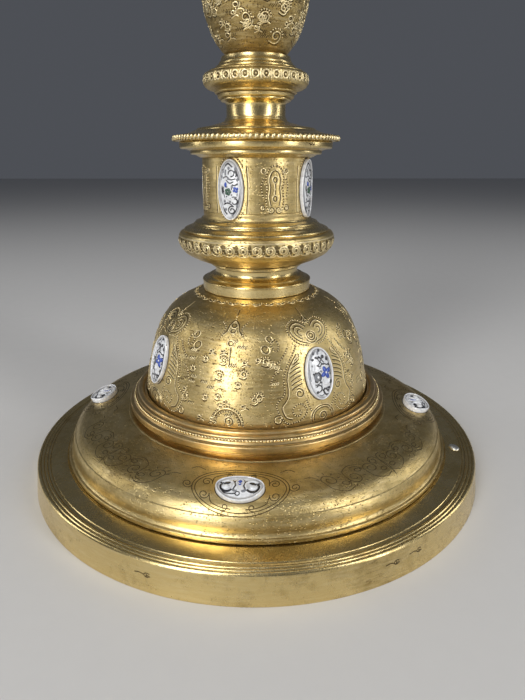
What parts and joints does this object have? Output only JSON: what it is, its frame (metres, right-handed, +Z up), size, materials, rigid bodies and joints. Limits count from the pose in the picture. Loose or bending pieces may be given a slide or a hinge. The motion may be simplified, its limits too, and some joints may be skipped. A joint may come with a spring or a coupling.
{
  "type": "covered ciborium",
  "caption": "Covered gilt-brass ciborium: round domed foot, turned stem with drum and egg-shaped knop, cased cup, loose domed lid with cross, and oval enamel plaques.",
  "frame": {"origin": "middle of the circle that the foot rests on", "axes": "+Z up the stem to the cross; -Y is the front, with the broad face of the cross"},
  "size_m": [0.1624, 0.1624, 0.3444],
  "materials": {
    "gilt": "polished mercury gilding, worn soft",
    "gilt_engraved": "gilding, engraved and punched all over",
    "gilt_rim": "turned and beaded, browned in the grooves",
    "enamel": "glossy white enamel with black and blue ornament",
    "iron": "dark oiled iron"
  },
  "bodies": {
    "foot": {"foot_ring": "gilt", "foot_shoulder": "gilt_engraved", "dome_rim": "gilt_rim", "foot_dome": "gilt_engraved", "foot_enamel_1": "enamel", "foot_enamel_2": "enamel", "foot_enamel_3": "enamel", "foot_enamel_4": "enamel", "dome_enamel_1": "enamel", "dome_enamel_2": "enamel", "dome_enamel_3": "enamel", "dome_enamel_4": "enamel"},
    "stem": {"dome_collar": "gilt", "neck_washer": "gilt", "scroll_bowl": "gilt_engraved", "drum_base": "gilt", "drum": "gilt_engraved", "drum_enamel_1": "enamel", "drum_enamel_2": "enamel", "drum_enamel_3": "enamel", "drum_enamel_4": "enamel", "cornice_base": "gilt", "cornice_disc": "gilt", "lower_neck": "gilt", "knop_collar": "gilt_engraved", "knop_ring": "gilt"},
    "knop": {"knop": "gilt_engraved", "knop_enamel_1": "enamel", "knop_enamel_2": "enamel", "knop_enamel_3": "enamel", "knop_enamel_4": "enamel", "knop_cap": "gilt"},
    "cup": {"upper_neck": "gilt", "upper_collar": "gilt", "cup_seat": "gilt", "cup_casing": "gilt_engraved", "casing_enamel_1": "enamel", "casing_enamel_2": "enamel", "casing_enamel_3": "enamel", "casing_enamel_4": "enamel", "casing_rim": "gilt_rim", "cup": "gilt", "cup_socket": "iron", "tie_rod": "iron"},
    "washer": {"tie_washer": "iron"},
    "nut": {"tie_nut": "iron"},
    "lid": {"lid_bezel": "gilt", "lid_rim": "gilt_rim", "lid_shoulder": "gilt_engraved", "lid_dome_rim": "gilt_rim", "lid_dome": "gilt_engraved", "lid_enamel_1": "enamel", "lid_enamel_2": "enamel", "lid_enamel_3": "enamel", "lid_enamel_4": "enamel"},
    "finial": {"finial_base": "gilt", "finial_ball": "gilt", "finial_stud": "iron", "finial_nut": "iron", "cross": "gilt"}
  },
  "joints": [
    {"name": "stem_turn", "type": "hinge", "parent": "foot", "child": "stem", "pos_m": [0, 0, 0.065], "axis": [0, 0, 1], "continuous": true},
    {"name": "knop_turn", "type": "hinge", "parent": "stem", "child": "knop", "pos_m": [0, 0, 0.1375], "axis": [0, 0, 1], "continuous": true},
    {"name": "cup_turn", "type": "hinge", "parent": "knop", "child": "cup", "pos_m": [0, 0, 0.1775], "axis": [0, 0, 1], "continuous": true},
    {"name": "lid_lift", "type": "slide", "parent": "cup", "child": "lid", "axis": [0, 0, 1], "range_m": [0, 0.12]},
    {"name": "finial_turn", "type": "hinge", "parent": "lid", "child": "finial", "pos_m": [0, 0, 0.29], "axis": [0, 0, 1], "continuous": true},
    {"name": "nut_drop", "type": "slide", "parent": "cup", "child": "washer", "axis": [0, 0, -1], "range_m": [0, 0.012]},
    {"name": "nut_turn", "type": "hinge", "parent": "washer", "child": "nut", "pos_m": [0, 0, 0.06], "axis": [0, 0, 1], "range_deg": [0, 4320]}
  ],
  "couplings": [
    {"joint": "nut_turn", "follows": "nut_drop", "rad_per_m": 6283.2}
  ]
}
